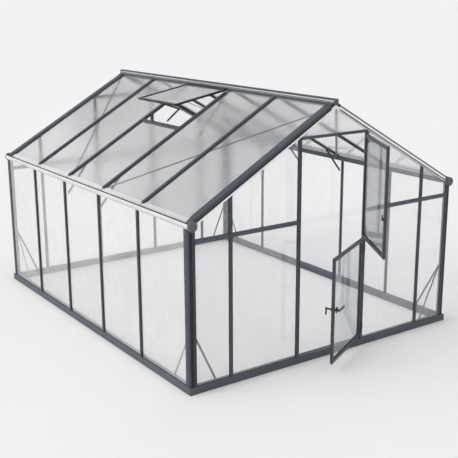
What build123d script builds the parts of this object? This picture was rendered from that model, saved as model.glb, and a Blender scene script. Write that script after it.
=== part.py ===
"""Glass greenhouse: aluminium frame on a base frame, clear glass walls,
frosted glass roof, one roof vent and a stable door in the front gable.

Frame: +Z up, +X to the right seen from in front of the door, +Y from the door
gable into the house. The origin is on the underside of the front base rail,
in the middle of the doorway.
"""
from build123d import *
import os
from math import cos, sin, tan, atan2, radians, degrees, hypot

os.makedirs("parts", exist_ok=True)

# ---------------------------------------------------------------- dimensions
WIDTH = 2960.0          # over the base frame, across the gable
LENGTH = 3746.0         # over the base frame, along the ridge
BASE_D = 56.0           # base rail, depth
BASE_H = 62.0           # base rail, height
BASE_EDGE_H = 56.0      # base rail, height of the outer face

PITCH_T = 0.568         # roof rise per unit of run, 29.6 degrees
RIDGE_Z = 2244.0        # roof bar tops produced to the ridge line
EAVES_Z = 1384.0        # underside of the eaves beam

BAY = 720.0             # pitch of the glazing bars
BAR_SHIFT = 12.0        # the row of bars sits a little behind the middle of the wall
BAR_Y = [BAR_SHIFT + k * BAY for k in (-1.5, -0.5, 0.5, 1.5)]
JAMB_X = 372.0          # door jamb centres
GABLE_BAR_X = 1071.0    # outer gable bar centres

RAIL_Z = 1272.0         # gable rail centre
HEAD_Z = 1978.5         # door head rail centre
RAIL_H = 32.0

BAR_OUT = 0.5           # outer face of bars, in from the base edge
POST_OUT = 7.0          # outer face of the corner posts
POST_IN = 58.0          # inner face of the corner posts
POST_FLANGE = 72.0      # gable flange of a corner post, from the base corner
GLASS_OUT = 14.0        # outer face of the wall glass
GLASS_T = 4.0
REB0, REB1 = 13.2, 18.8     # glass rebate, front and back
BAR_CAP = 14.0          # half width of a wall bar's outer cap
BAR_BOX = 8.0           # half width of a wall bar's inner flange
BAR_IN = 23.0           # inner face of a wall bar's flange
HEAD_IN = 42.0          # inner face of the door head rail
BAR_NECK = 4.0          # half width of a glazing bar's neck
ROOF_CAP = 20.0         # half width of a roof bar's cap
ROOF_BOX = 8.0          # half width of a roof bar's inner rib
RIB_DROP = 30.0         # underside of a roof bar's rib below the roof line
EDGE = 6.0              # glass edge from a bar's centre line

LEAF_HALF = 352.0       # half width of a door leaf
LEAF_OUT = 2.5          # outer face of a closed leaf, in from the base edge
LEAF_T = 23.0
STILE = 30.0
LOWER_Z = (92.0, 1019.0)
UPPER_Z = (1040.0, 1961.0)
HINGE_X = 362.0
HINGE_OUT = -3.5        # hinge axis, in from the base edge
LOWER_OPEN = 28.2       # opening angle of the lower leaf as it stands
UPPER_OPEN = 61.1

VENT_RAIL_X = 590.0     # cross rail below the roof vent
VENT_HALF = 350.0
VENT_LEN = 600.0
VENT_ANGLE = 10.3       # sash below the horizontal, as it stands open
VENT_HINGE = (-46.0, 2236.0)

HW = WIDTH / 2
HL = LENGTH / 2
YF = -37.0              # outer face of the front base rail
YC = YF + HL            # middle of the house
YM = YC + BAR_SHIFT     # middle of the row of bars and of the roof vent
GAP = 0.4               # assembly clearance between neighbouring profiles


def wall_plane(side, z=0.0):
    """Plane whose local x runs along a wall and whose local y runs inwards
    from the base frame's outer face. side: front, back, left or right."""
    if side == "front":
        return Plane(origin=(0, YF, z), x_dir=(1, 0, 0), z_dir=(0, 0, 1))
    if side == "back":
        return Plane(origin=(0, YF + LENGTH, z), x_dir=(-1, 0, 0), z_dir=(0, 0, 1))
    if side == "left":
        return Plane(origin=(-HW, YC, z), x_dir=(0, -1, 0), z_dir=(0, 0, 1))
    return Plane(origin=(HW, YC, z), x_dir=(0, 1, 0), z_dir=(0, 0, 1))


def outline(plane, points):
    """Flat closed outline on a plane."""
    with BuildSketch(plane) as sk:
        with BuildLine():
            Polyline(*points, close=True)
        make_face()
    return sk.sketch


def bar_points(t):
    """Section of a glazing bar at position t along its wall: an outer cap,
    a neck with a glass rebate on each side, and a slim inner flange."""
    c, b, n, o, i = BAR_CAP, BAR_BOX, BAR_NECK, BAR_OUT, BAR_IN
    return [(t - c + 2, o), (t + c - 2, o), (t + c, o + 2),
            (t + c, REB0), (t + n, REB0), (t + n, REB1), (t + b, REB1), (t + b, i - 2),
            (t + b - 2, i), (t - b + 2, i), (t - b, i - 2), (t - b, REB1),
            (t - n, REB1), (t - n, REB0), (t - c, REB0), (t - c, o + 2)]


def jamb_points(t, out):
    """Section of a door jamb: glass rebate on its outer side only.
    out is -1 where the glass lies towards lower t."""
    c, b, n, o = BAR_CAP, BAR_BOX, BAR_NECK, BAR_OUT
    pts = [(-c + 2, o), (c - 2, o), (c, o + 2), (c, REB1 - 1), (b - 1, REB1 - 1),
           (b - 1, 34), (-b, 34), (-b, REB1), (-n, REB1), (-n, REB0),
           (-c, REB0), (-c, o + 2)]
    return [(t - out * x, d) for x, d in pts]


def roof_z(z0, x):
    return z0 - PITCH_T * abs(x)


def slope_vector(sgn):
    n = hypot(1, PITCH_T)
    return Vector(sgn / n, 0, -PITCH_T / n)


def sloped(points, sgn, x0, x1):
    """Prism with a plumb section (y, z at the ridge line) from |x| = x0 to x1."""
    pl = Plane(origin=(sgn * x0, 0, -PITCH_T * x0), x_dir=(0, 1, 0), z_dir=(1, 0, 0))
    face = outline(pl, points)
    return face, (x1 - x0) * hypot(1, PITCH_T), slope_vector(sgn)


def gable_cut(face, height, z0):
    """Upright bar under the roof slope: extruded and cut off parallel to it."""
    with BuildPart() as up:
        extrude(face, amount=height)
        x = up.part.center().X
        sgn = 1 if x > 0 else -1
        n = hypot(1, PITCH_T)
        split(bisect_by=Plane(origin=(0, 0, z0), z_dir=(sgn * PITCH_T / n, 0, 1 / n)),
              keep=Keep.BOTTOM)
    return up.part


def save(part, name):
    part.label = name
    export_step(part, "parts/%s.step" % name)
    print(name, len(part.solids()), round(part.volume / 1e6, 3), "litres")


# ---------------------------------------------------------------- base frame
BASE_SECTION = [(0, 0), (BASE_D, 0), (BASE_D, BASE_H), (5, BASE_H),
                (1.5, BASE_EDGE_H + 3), (0, BASE_EDGE_H)]


GLASS_END = 52.0        # edge of the end panes, in from the base edge


def base_rail(side, half, grooves):
    """Base rail with its eased outer edge and the groove that the glass stands in."""
    pl = wall_plane(side)
    end = Plane(origin=pl.origin - pl.x_dir * half, x_dir=pl.y_dir, z_dir=pl.x_dir)
    with BuildPart() as rail:
        extrude(outline(end, BASE_SECTION), amount=2 * half)
        for t0, t1 in grooves:
            cut = outline(wall_plane(side, BASE_H - 8),
                          [(t0, REB0), (t1, REB0), (t1, REB1), (t0, REB1)])
            extrude(cut, amount=10, mode=Mode.SUBTRACT)
        if side in ("front", "back"):
            # ends of the side walls' glass grooves
            for s in (-1, 1):
                cut = outline(wall_plane(side, BASE_H - 8),
                              [(s * (HW - REB1), GLASS_END - 2), (s * (HW - REB0), GLASS_END - 2),
                               (s * (HW - REB0), BASE_D + 1), (s * (HW - REB1), BASE_D + 1)])
                extrude(cut, amount=10, mode=Mode.SUBTRACT)
    return rail.part


front_in = HW - GLASS_END + 2
side_in = HL - GLASS_END + 2

with BuildPart() as base_front:
    add(base_rail("front", HW, [(-front_in, -JAMB_X - 4), (JAMB_X + 4, front_in)]))
save(base_front.part, "base_front")

with BuildPart() as base_back:
    add(base_rail("back", HW, [(-front_in, front_in)]))
save(base_back.part, "base_back")

with BuildPart() as base_left:
    add(base_rail("left", HL - BASE_D - GAP, [(-side_in, side_in)]))
save(base_left.part, "base_left")

with BuildPart() as base_right:
    add(base_rail("right", HL - BASE_D - GAP, [(-side_in, side_in)]))
save(base_right.part, "base_right")


# -------------------------------------------------------------- corner posts
def corner_points(sx, sy):
    """Corner post section with a rounded outer corner, two fine grooves on the
    gable face and a glass slot in each inner side, for the corner (sx, sy)."""
    a, b, s = POST_OUT, POST_IN, GLASS_END - 2
    pts = [(a, a), (45, a), (45, a + 1.5), (47, a + 1.5), (47, a), (55, a), (55, a + 1.5),
           (57, a + 1.5), (57, a), (b, a), (b, REB0), (s, REB0), (s, REB1), (b, REB1),
           (b, b - 6), (b - 6, b), (REB1, b), (REB1, s), (REB0, s), (REB0, b), (a, b)]
    return [(sx * (HW - p), YC + sy * (HL - q)) for p, q in pts]


def flange_points(sx, sy, turned):
    """Section of the flange that covers the glass edge beside a corner post."""
    pts = [(POST_IN + 0.3, POST_OUT), (POST_FLANGE, POST_OUT), (POST_FLANGE, REB0),
           (POST_IN + 0.3, REB0)]
    if turned:
        pts = [(q, p) for p, q in pts]
    return [(sx * (HW - p), YC + sy * (HL - q)) for p, q in pts]


POST_TOP = EAVES_Z - 1
POST_R = 32.0           # rounding of the outer corner

with BuildPart() as corner_posts:
    for sx in (-1, 1):
        for sy in (-1, 1):
            pts = corner_points(sx, sy)
            with BuildSketch(Plane.XY.offset(BASE_H + 0.2)) as post:
                with BuildLine():
                    Polyline(*pts, close=True)
                make_face()
                fillet(post.vertices().sort_by_distance(Vector(*pts[0], 0))[0], radius=POST_R)
            extrude(amount=POST_TOP - BASE_H - 0.2)
            for turned in (False, True):
                extrude(outline(Plane.XY.offset(BASE_H + 0.2), flange_points(sx, sy, turned)),
                        amount=POST_TOP - BASE_H - 0.2)
save(corner_posts.part, "corner_posts")


# ------------------------------------------------------- wall glazing bars
def along(side):
    """Bar centres in a side wall's own direction."""
    return BAR_Y if side == "right" else [-t for t in reversed(BAR_Y)]


def wall_bars(side):
    with BuildPart() as bars:
        for t in along(side):
            extrude(outline(wall_plane(side, BASE_H + 0.2), bar_points(t)),
                    amount=EAVES_Z - 0.5 - BASE_H - 0.2)
    return bars.part


with BuildPart() as left_wall_bars:
    add(wall_bars("left"))
save(left_wall_bars.part, "left_wall_bars")

with BuildPart() as right_wall_bars:
    add(wall_bars("right"))
save(right_wall_bars.part, "right_wall_bars")

# ------------------------------------------------------- gable bars and jambs
GABLE_TOP = RIDGE_Z - 50.0      # slope line that the gable bars are cut to

with BuildPart() as front_gable_bars:
    for t in (-GABLE_BAR_X, GABLE_BAR_X):
        add(gable_cut(outline(wall_plane("front", BASE_H + 0.2), bar_points(t)),
                      1900, GABLE_TOP))
save(front_gable_bars.part, "front_gable_bars")

with BuildPart() as door_jambs:
    add(gable_cut(outline(wall_plane("front", BASE_H + 0.2), jamb_points(-JAMB_X, -1)),
                  2100, GABLE_TOP))
    add(gable_cut(outline(wall_plane("front", BASE_H + 0.2), jamb_points(JAMB_X, 1)),
                  2100, GABLE_TOP))
save(door_jambs.part, "door_jambs")

with BuildPart() as back_gable_bars:
    for t in (-GABLE_BAR_X, -JAMB_X, JAMB_X, GABLE_BAR_X):
        add(gable_cut(outline(wall_plane("back", BASE_H + 0.2), bar_points(t)),
                      2100, GABLE_TOP))
save(back_gable_bars.part, "back_gable_bars")


# ------------------------------------------------------------- gable rails
def rail_section(zc, head=False):
    """Section (depth from the outer face, height) of a gable rail. The door
    head rail has its lower rebate filled."""
    c, b, n, o, i = RAIL_H / 2, BAR_BOX, BAR_NECK, BAR_OUT, HEAD_IN if head else BAR_IN
    if head:
        c = 12
        pts = [(o, zc - c + 2), (o + 2, zc - c), (i - 10, zc - c), (i - 10, zc - b), (i, zc - b)]
    else:
        pts = [(o, zc - c + 2), (o + 2, zc - c), (REB0, zc - c), (REB0, zc - n), (REB1, zc - n),
               (REB1, zc - b), (i - 2, zc - b), (i, zc - b + 2)]
    pts += [(i, zc + b - 2), (i - 2, zc + b), (REB1, zc + b), (REB1, zc + n), (REB0, zc + n),
            (REB0, zc + c), (o + 2, zc + c), (o, zc + c - 2)]
    return pts


def gable_rail(side, t0, t1, zc, head=False):
    """Rail along a gable from t0 to t1."""
    pl = wall_plane(side)
    end = Plane(origin=pl.origin + pl.x_dir * t0, x_dir=pl.y_dir, z_dir=pl.x_dir)
    with BuildPart() as r:
        extrude(outline(end, rail_section(zc, head)), amount=t1 - t0)
    return r.part


POST_SIDE = HW - POST_FLANGE + GAP       # clear of the corner posts
C = BAR_CAP + GAP

with BuildPart() as front_gable_rails:
    for t0, t1 in ((-POST_SIDE + 2 * GAP, -GABLE_BAR_X - C), (-GABLE_BAR_X + C, -JAMB_X - C),
                   (JAMB_X + C, GABLE_BAR_X - C), (GABLE_BAR_X + C, POST_SIDE - 2 * GAP)):
        add(gable_rail("front", t0, t1, RAIL_Z))
save(front_gable_rails.part, "front_gable_rails")

with BuildPart() as back_gable_rails:
    for t0, t1 in ((-POST_SIDE + 2 * GAP, -GABLE_BAR_X - C), (-GABLE_BAR_X + C, -JAMB_X - C),
                   (-JAMB_X + C, JAMB_X - C),
                   (JAMB_X + C, GABLE_BAR_X - C), (GABLE_BAR_X + C, POST_SIDE - 2 * GAP)):
        add(gable_rail("back", t0, t1, RAIL_Z))
save(back_gable_rails.part, "back_gable_rails")

HEAD_END = JAMB_X - C


def head_rail(side):
    """Rail over the doorway, its top corners cut to the roof slope."""
    n = hypot(1, PITCH_T)
    with BuildPart() as r:
        add(gable_rail(side, -HEAD_END, HEAD_END, HEAD_Z, head=side == "front"))
        for sgn in (-1, 1):
            split(bisect_by=Plane(origin=(0, 0, GABLE_TOP),
                                  z_dir=(sgn * PITCH_T / n, 0, 1 / n)), keep=Keep.BOTTOM)
    return r.part


with BuildPart() as door_head_rail:
    add(head_rail("front"))
save(door_head_rail.part, "door_head_rail")

with BuildPart() as back_head_rail:
    add(head_rail("back"))
save(back_head_rail.part, "back_head_rail")


# ----------------------------------------------------------- eaves and gutters
def along_y(side, points, y0, y1):
    """Prism along Y; points are (in from the base edge, height)."""
    s = -1 if side == "left" else 1
    face = outline(Plane(origin=(0, y1, 0), x_dir=(1, 0, 0), z_dir=(0, -1, 0)),
                   [(s * (HW - d), z) for d, z in points])
    with BuildPart() as p:
        extrude(face, amount=y1 - y0)
    return p.part


UNDER = RIDGE_Z - 15            # slope line just under the roof panes


def under_z(d):
    return roof_z(UNDER, HW - d)


def eaves_channel(side):
    """Head channel over the wall glass."""
    with BuildPart() as channel:
        add(along_y(side, [(BAR_OUT, EAVES_Z), (REB0, EAVES_Z), (REB0, EAVES_Z + 6.5),
                           (REB1, EAVES_Z + 6.5), (REB1, EAVES_Z), (41.5, EAVES_Z),
                           (41.5, EAVES_Z + 9), (BAR_OUT, EAVES_Z + 9)], YC - HL + 8, YC + HL - 8))
    return channel.part


def eaves_beam(side):
    """Box beam on the inside, its top cut to the roof slope."""
    with BuildPart() as beam:
        add(along_y(side, [(42, EAVES_Z), (82, EAVES_Z), (82, under_z(82)),
                           (42, under_z(42))], YC - HL + 62.5, YC + HL - 62.5))
    return beam.part


with BuildPart() as eaves_channel_left:
    add(eaves_channel("left"))
save(eaves_channel_left.part, "eaves_channel_left")

with BuildPart() as eaves_channel_right:
    add(eaves_channel("right"))
save(eaves_channel_right.part, "eaves_channel_right")

with BuildPart() as eaves_beam_left:
    add(eaves_beam("left"))
save(eaves_beam_left.part, "eaves_beam_left")

with BuildPart() as eaves_beam_right:
    add(eaves_beam("right"))
save(eaves_beam_right.part, "eaves_beam_right")

GUTTER_Z = EAVES_Z + 9.5
GUTTER_Y = HL - 7               # half length of a gutter


def gutter(side):
    """Open trough: outer wall, floor and a lower inner wall."""
    z = GUTTER_Z
    with BuildPart() as g:
        add(along_y(side, [(2, z + 3), (5, z), (40, z), (40, z + 17.5), (37, z + 17.5),
                           (37, z + 3), (6, z + 3), (5, z + 4), (5, z + 31), (2, z + 31)],
                    YC - GUTTER_Y, YC + GUTTER_Y))
    return g.part


with BuildPart() as gutter_left:
    add(gutter("left"))
save(gutter_left.part, "gutter_left")

with BuildPart() as gutter_right:
    add(gutter("right"))
save(gutter_right.part, "gutter_right")

with BuildPart() as gutter_lips:
    for side in ("left", "right"):
        add(along_y(side, [(1, GUTTER_Z + 31.3), (7, GUTTER_Z + 31.3), (7, GUTTER_Z + 39),
                           (5.5, GUTTER_Z + 40.5), (2.5, GUTTER_Z + 40.5), (1, GUTTER_Z + 39)],
                    YC - GUTTER_Y, YC + GUTTER_Y))
save(gutter_lips.part, "gutter_lips")

CAP_R = 42.0
CAP_IN = 42.4           # cap centre, in from the base edge
CAP_Z = 1400.0
CAP_LEN = 24.0

with BuildPart() as gutter_end_caps:
    for sy in (-1, 1):
        y0 = YC + sy * (GUTTER_Y + 0.5)
        pl = Plane(origin=(0, y0, CAP_Z), x_dir=(1, 0, 0), z_dir=(0, sy, 0))
        with BuildSketch(pl):
            with Locations((-HW + CAP_IN, 0), (HW - CAP_IN, 0)):
                Circle(CAP_R)
        extrude(amount=CAP_LEN)
    rims = gutter_end_caps.edges().filter_by(GeomType.CIRCLE).sort_by(Axis.Y)
    chamfer([rims[0], rims[1], rims[-1], rims[-2]], length=5)
save(gutter_end_caps.part, "gutter_end_caps")


# ----------------------------------------------------------------- verges
def e_y(sy, e):
    """Y of a point e in from the end face of the base; sy = -1 front, 1 back."""
    return YC + sy * (HL - e)


VERGE_DROP = 37.0               # underside of the rafter below the roof line


def rafter(sgn, sy):
    """Gable rafter: a broad cap over the verge with a sloping front edge, and a
    box behind the gable glass."""
    r, u = RIDGE_Z, RIDGE_Z - VERGE_DROP
    cap = [(8, r - 18), (8, r + 3), (13, r + 9), (20, r + 10), (72, r + 10), (76, r + 5),
           (76, r - 6), (50, r - 6), (50, r - 18)]
    low = [(8, r - 18), (8, r - 8), (50, r - 8), (50, r - 18), (62, r - 18), (62, u),
           (19.5, u), (19.5, r - 18)]
    with BuildPart() as raf:
        f, n, d = sloped([(e_y(sy, e), z) for e, z in cap], sgn, 42, 1438)
        extrude(f, amount=n, dir=d)
        f, n, d = sloped([(e_y(sy, e), z) for e, z in low], sgn, 0.3, 1395)
        extrude(f, amount=n, dir=d)
    return raf.part


with BuildPart() as front_rafters:
    add(rafter(-1, -1))
    add(rafter(1, -1))
save(front_rafters.part, "front_rafters")

with BuildPart() as back_rafters:
    add(rafter(-1, 1))
    add(rafter(1, 1))
save(back_rafters.part, "back_rafters")


with BuildPart() as verge_strips:
    # pale strip in front of the gable panes' upper edges
    for sgn in (-1, 1):
        for sy in (-1, 1):
            u = RIDGE_Z - VERGE_DROP
            f, n, d = sloped([(e_y(sy, e), z) for e, z in
                              [(8.5, u + 18.6), (REB0, u + 18.6), (REB0, u - 12.6),
                               (8.5, u - 12.6)]], sgn, 0.3, 1395)
            extrude(f, amount=n, dir=d)
save(verge_strips.part, "verge_strips")


# ------------------------------------------------------------- roof bars
CAP_TOP = 8.0           # roof bar caps above the roof line


def roof_caps(sgn):
    """Outer caps of a slope's bars. The two beside the vent start below its hinge."""
    r, c, h = RIDGE_Z, ROOF_CAP, CAP_TOP
    with BuildPart() as caps:
        for i, t in enumerate(BAR_Y):
            y = YC + t
            f, m, d = sloped([(y - c, r - 6), (y + c, r - 6), (y + c, r + h - 5), (y + c - 5, r + h),
                              (y - c + 5, r + h), (y - c, r + h - 5)],
                             sgn, 74 if sgn < 0 and i in (1, 2) else 41, 1418)
            extrude(f, amount=m, dir=d)
    return caps.part


def roof_ribs(sgn):
    """Necks and inner boxes of a slope's bars."""
    r, b, n = RIDGE_Z, ROOF_BOX, BAR_NECK
    with BuildPart() as ribs:
        for t in BAR_Y:
            y = YC + t
            f, m, d = sloped([(y - n, r - 6.3), (y + n, r - 6.3), (y + n, r - 18), (y + b, r - 18),
                              (y + b, r - RIB_DROP), (y - b, r - RIB_DROP), (y - b, r - 18),
                              (y - n, r - 18)], sgn, 14, 1396)
            extrude(f, amount=m, dir=d)
    return ribs.part


with BuildPart() as left_roof_caps:
    add(roof_caps(-1))
save(left_roof_caps.part, "left_roof_caps")

with BuildPart() as right_roof_caps:
    add(roof_caps(1))
save(right_roof_caps.part, "right_roof_caps")

with BuildPart() as left_roof_ribs:
    add(roof_ribs(-1))
save(left_roof_ribs.part, "left_roof_ribs")

with BuildPart() as right_roof_ribs:
    add(roof_ribs(1))
save(right_roof_ribs.part, "right_roof_ribs")

# ---------------------------------------------------------------- ridge
RIDGE_END = HL - 8
r1 = RIDGE_Z + 1.5

with BuildPart() as ridge_cap:
    # cap profile: a wing over each slope, a stem and a broad head
    wing = [(0.2, r1 - 1), (40, roof_z(r1, 40)), (40, roof_z(r1, 40) + 9), (17, RIDGE_Z + 8),
            (0.2, RIDGE_Z + 8)]
    for pts in (wing, [(-x, z) for x, z in wing],
                [(-12, RIDGE_Z + 8.2), (12, RIDGE_Z + 8.2), (12, RIDGE_Z + 19.8),
                 (-12, RIDGE_Z + 19.8)],
                [(-22, RIDGE_Z + 20), (22, RIDGE_Z + 20), (22, RIDGE_Z + 27), (14, RIDGE_Z + 33),
                 (-14, RIDGE_Z + 33), (-22, RIDGE_Z + 27)]):
        extrude(outline(Plane(origin=(0, YC + RIDGE_END, 0), x_dir=(1, 0, 0), z_dir=(0, -1, 0)),
                        pts), amount=2 * RIDGE_END)
save(ridge_cap.part, "ridge_cap")

with BuildPart() as ridge_beam:
    # board below the roof line, between the gable rafters
    web = HL - 62.5
    extrude(outline(Plane(origin=(0, YC + web, 0), x_dir=(1, 0, 0), z_dir=(0, -1, 0)),
                    [(-12, RIDGE_Z - 44), (12, RIDGE_Z - 44), (12, RIDGE_Z - 9),
                     (-12, RIDGE_Z - 9)]), amount=2 * web)
save(ridge_beam.part, "ridge_beam")

with BuildPart() as ridge_strips:
    for s in (-1, 1):
        pts = [(s * 12.4, RIDGE_Z + 8.4), (s * 17, RIDGE_Z + 8.4), (s * 17, RIDGE_Z + 19.6),
               (s * 12.4, RIDGE_Z + 19.6)]
        extrude(outline(Plane(origin=(0, YC + RIDGE_END, 0), x_dir=(1, 0, 0), z_dir=(0, -1, 0)),
                        pts), amount=2 * RIDGE_END)
save(ridge_strips.part, "ridge_strips")

with BuildPart() as ridge_end_caps:
    for sy in (-1, 1):
        y0 = YC + sy * (RIDGE_END + 0.2)
        pts = [(-18, RIDGE_Z - 18), (18, RIDGE_Z - 18), (23, RIDGE_Z - 13), (23, RIDGE_Z + 24),
               (20, RIDGE_Z + 31), (14, RIDGE_Z + 34), (-14, RIDGE_Z + 34), (-20, RIDGE_Z + 31),
               (-23, RIDGE_Z + 24), (-23, RIDGE_Z - 13)]
        extrude(outline(Plane(origin=(0, y0, 0), x_dir=(-sy, 0, 0), z_dir=(0, sy, 0)), pts),
                amount=7.6)
save(ridge_end_caps.part, "ridge_end_caps")


# ------------------------------------------------------------- wall glass
def pane(side, points):
    """Pane in a wall's glass plane; points are (along the wall, height)."""
    pl = wall_plane(side)
    face = outline(Plane(origin=pl.origin + pl.y_dir * (GLASS_OUT + GLASS_T),
                         x_dir=pl.x_dir, z_dir=-pl.y_dir), points)
    with BuildPart() as g:
        extrude(face, amount=GLASS_T)
    return g.part


GLASS_Z0 = BASE_H - 6
GLASS_Z1 = EAVES_Z + 4


def bays(half, centres):
    """Pane widths along a wall of the given half length."""
    edges = [-(half - GLASS_END)]
    for c in centres:
        edges += [c - EDGE, c + EDGE]
    edges.append(half - GLASS_END)
    return [(edges[i], edges[i + 1]) for i in range(0, len(edges), 2)]


def wall_glass(side):
    with BuildPart() as g:
        for t0, t1 in bays(HL, along(side)):
            add(pane(side, [(t0, GLASS_Z0), (t1, GLASS_Z0), (t1, GLASS_Z1), (t0, GLASS_Z1)]))
    return g.part


with BuildPart() as left_wall_glass:
    add(wall_glass("left"))
save(left_wall_glass.part, "left_wall_glass")

with BuildPart() as right_wall_glass:
    add(wall_glass("right"))
save(right_wall_glass.part, "right_wall_glass")

GABLE_GLASS = RIDGE_Z - 20      # slope line of the gable panes' upper edges


def upper_pane(side, t0, t1, z0):
    pts = [(t0, z0), (t1, z0), (t1, roof_z(GABLE_GLASS, t1)), (t0, roof_z(GABLE_GLASS, t0))]
    return pane(side, pts)


GB = [-GABLE_BAR_X, -JAMB_X, JAMB_X, GABLE_BAR_X]

with BuildPart() as front_gable_glass:
    for i, (t0, t1) in enumerate(bays(HW, GB)):
        if i == 2:
            continue
        add(pane("front", [(t0, GLASS_Z0), (t1, GLASS_Z0), (t1, RAIL_Z - EDGE),
                           (t0, RAIL_Z - EDGE)]))
        add(upper_pane("front", t0, t1, RAIL_Z + EDGE))
save(front_gable_glass.part, "front_gable_glass")

with BuildPart() as back_gable_glass:
    for i, (t0, t1) in enumerate(bays(HW, GB)):
        add(pane("back", [(t0, GLASS_Z0), (t1, GLASS_Z0), (t1, RAIL_Z - EDGE),
                          (t0, RAIL_Z - EDGE)]))
        if i == 2:
            add(pane("back", [(t0, RAIL_Z + EDGE), (t1, RAIL_Z + EDGE), (t1, HEAD_Z - EDGE),
                              (t0, HEAD_Z - EDGE)]))
        else:
            add(upper_pane("back", t0, t1, RAIL_Z + EDGE))
save(back_gable_glass.part, "back_gable_glass")

with BuildPart() as apex_panes:
    for side in ("front", "back"):
        t = JAMB_X - 16
        z0 = HEAD_Z + EDGE
        add(pane(side, [(-t, z0), (t, z0), (t, roof_z(GABLE_GLASS, t)), (0, GABLE_GLASS),
                        (-t, roof_z(GABLE_GLASS, t))]))
save(apex_panes.part, "apex_panes")

# ------------------------------------------------------------- roof panes
PANE_END = 1450.0
PANE_TOP = RIDGE_Z - 8
PANE_V = GLASS_T * hypot(1, PITCH_T)


def roof_pane(sgn, t0, t1, x0=20.0, x1=PANE_END):
    y0, y1 = YC + t0, YC + t1
    f, n, d = sloped([(y0, PANE_TOP), (y1, PANE_TOP), (y1, PANE_TOP - PANE_V),
                      (y0, PANE_TOP - PANE_V)], sgn, x0, x1)
    with BuildPart() as g:
        extrude(f, amount=n, dir=d)
    return g.part


ROOF_BAYS = bays(HL, BAR_Y)
SPLIT_V = VENT_RAIL_X + 7

with BuildPart() as left_roof_panes:
    for i, (t0, t1) in enumerate(ROOF_BAYS):
        add(roof_pane(-1, t0, t1, SPLIT_V if i == 2 else 20.0))
save(left_roof_panes.part, "left_roof_panes")

with BuildPart() as right_roof_panes:
    for t0, t1 in ROOF_BAYS:
        add(roof_pane(1, t0, t1))
save(right_roof_panes.part, "right_roof_panes")

with BuildPart() as eaves_strips:
    # pale bedding strip between the eaves beam and the roof panes
    for sgn in (-1, 1):
        h = HL - 77
        f, n, d = sloped([(YC - h, PANE_TOP - 4.9), (YC + h, PANE_TOP - 4.9),
                          (YC + h, PANE_TOP - 6.8), (YC - h, PANE_TOP - 6.8)], sgn, 1396.5, 1438)
        extrude(f, amount=n, dir=d)
save(eaves_strips.part, "eaves_strips")

# ----------------------------------------------------------- roof vent
slope_deg = degrees(atan2(PITCH_T, 1))
vent_half_clear = BAY / 2 - ROOF_CAP - GAP

with BuildPart() as vent_cross_rail:
    # section across the slope: s runs down the slope, n square to it
    origin = Vector(-VENT_RAIL_X, YM - vent_half_clear, roof_z(RIDGE_Z, VENT_RAIL_X))
    down = slope_vector(-1)
    pl = Plane(origin=origin, x_dir=down, z_dir=(0, 1, 0))
    k = 1 if pl.y_dir.Z > 0 else -1
    pts = [(-14, 0), (16, 0), (16, -5), (4, -5), (4, -16), (10, -16), (10, -38), (-14, -38)]
    extrude(outline(pl, [(s, k * n) for s, n in pts]), amount=2 * vent_half_clear)
save(vent_cross_rail.part, "vent_cross_rail")

va = radians(VENT_ANGLE)
vent_down = Vector(-cos(va), 0, -sin(va))
vent_plane = Plane(origin=(VENT_HINGE[0], YM, VENT_HINGE[1]), x_dir=(0, 1, 0),
                   z_dir=vent_down.cross(Vector(0, 1, 0)))
vk = 1 if vent_plane.y_dir.dot(vent_down) > 0 else -1
nk = -1 if vent_plane.z_dir.Z > 0 else 1


def vent_box(t0, t1, s0, s1, n0, n1):
    """Block in the sash's own frame: t along the ridge, s down the sash,
    n below its upper face."""
    face = outline(Plane(origin=vent_plane.origin + vent_plane.z_dir * (nk * n0),
                         x_dir=vent_plane.x_dir, z_dir=vent_plane.z_dir),
                   [(t0, vk * s0), (t1, vk * s0), (t1, vk * s1), (t0, vk * s1)])
    with BuildPart() as b:
        extrude(face, amount=nk * (n1 - n0))
    return b.part


with BuildPart() as vent_sash_frame:
    w = 26
    add(vent_box(-VENT_HALF, -VENT_HALF + w, 0, VENT_LEN, 0, 18))
    add(vent_box(VENT_HALF - w, VENT_HALF, 0, VENT_LEN, 0, 18))
    add(vent_box(-VENT_HALF + w + 0.3, VENT_HALF - w - 0.3, 0, w, 0, 18))
    add(vent_box(-VENT_HALF + w + 0.3, VENT_HALF - w - 0.3, VENT_LEN - w, VENT_LEN, 0, 18))
save(vent_sash_frame.part, "vent_sash_frame")

with BuildPart() as vent_sash_pane:
    add(vent_box(-VENT_HALF + 27, VENT_HALF - 27, 27, VENT_LEN - 27, 5, 9))
save(vent_sash_pane.part, "vent_sash_pane")

OPENER_Y = YM - 120.0


def link(p, q, width, y0, thick):
    """Flat link with rounded ends between two points of an XZ plane."""
    dx, dz = q[0] - p[0], q[1] - p[1]
    pl = Plane(origin=(p[0], y0, p[1]), x_dir=(dx, 0, dz), z_dir=(0, -1, 0))
    with BuildPart() as lk:
        with BuildSketch(pl):
            with Locations((hypot(dx, dz) / 2, 0)):
                SlotCenterToCenter(hypot(dx, dz), width)
        extrude(amount=-thick)
    return lk.part


with BuildPart() as vent_opener:
    A, B, Cc = (-600.0, 2104.0), (-448.0, 2048.0), (-580.0, 1946.0)
    add(link(A, B, 16, OPENER_Y - 5, 5))
    add(link(B, Cc, 16, OPENER_Y, 5))
    # thrust cylinder beside the lower link
    mid = Vector(B[0] * 0.75 + Cc[0] * 0.25, OPENER_Y + 5, B[1] * 0.75 + Cc[1] * 0.25)
    run = Vector(Cc[0] - B[0], 0, Cc[1] - B[1]).normalized()
    with BuildSketch(Plane(origin=mid, x_dir=(0, 1, 0), z_dir=run)):
        Circle(9)
    extrude(amount=90)
save(vent_opener.part, "vent_opener")


# ------------------------------------------------------------- braces
BRACE_W, BRACE_T = 18.0, 4.0


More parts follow.
